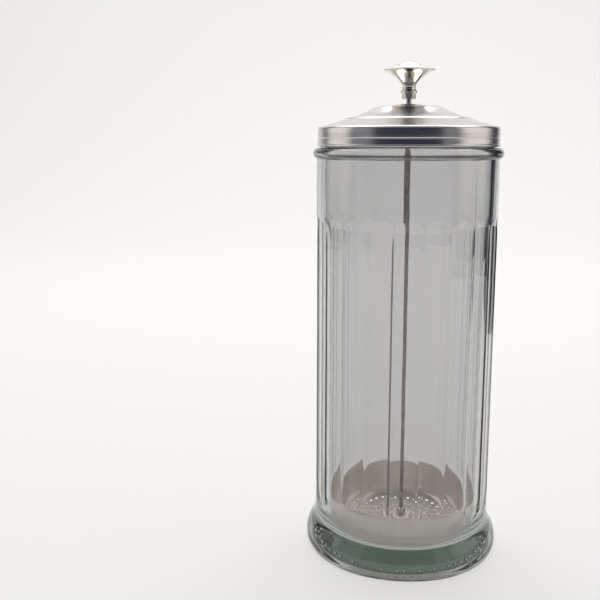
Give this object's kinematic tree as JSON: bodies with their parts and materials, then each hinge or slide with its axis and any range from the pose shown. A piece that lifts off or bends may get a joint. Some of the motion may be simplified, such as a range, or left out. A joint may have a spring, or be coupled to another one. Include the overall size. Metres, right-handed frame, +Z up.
{
  "type": "disinfectant jar",
  "caption": "Tall glass jar with a lift-off metal lid, whose mushroom knob raises a perforated basket on a central rod.",
  "frame": {"origin": "centre of the foot, on the surface that the jar stands on", "axes": "+Z up along the rod; X and Y are alike, because the jar is round"},
  "size_m": [0.116, 0.116, 0.2899],
  "materials": {
    "glass": "clear pressed soda-lime glass, faintly green",
    "spun_steel": "satin, brushed round the axis by spinning",
    "bright_steel": "bright zinc or nickel plate",
    "knob_plating": "polished nickel plate",
    "basket_steel": "satin drawn sheet"
  },
  "bodies": {
    "jar": {"glass_jar": "glass"},
    "lid": {"lid_shell": "spun_steel"},
    "rod_washer": {"lid_washer": "bright_steel"},
    "lift": {"lift_rod": "bright_steel", "knob": "knob_plating", "knob_nut": "bright_steel", "stop_washer": "bright_steel", "stop_nut": "bright_steel", "basket": "basket_steel", "basket_upper_nut": "bright_steel", "basket_upper_washer": "bright_steel", "basket_lower_washer": "bright_steel", "basket_lower_nut": "bright_steel"}
  },
  "joints": [
    {"name": "lid_lift", "type": "slide", "parent": "jar", "child": "lid", "axis": [0, 0, 1], "range_m": [0, 0.25]},
    {"name": "rod_turn", "type": "hinge", "parent": "lid", "child": "rod_washer", "pos_m": [0, 0, 0.2652], "axis": [0, 0, 1], "continuous": true},
    {"name": "rod_play", "type": "slide", "parent": "rod_washer", "child": "lift", "axis": [0, 0, 1], "range_m": [0, 0.0034]}
  ]
}
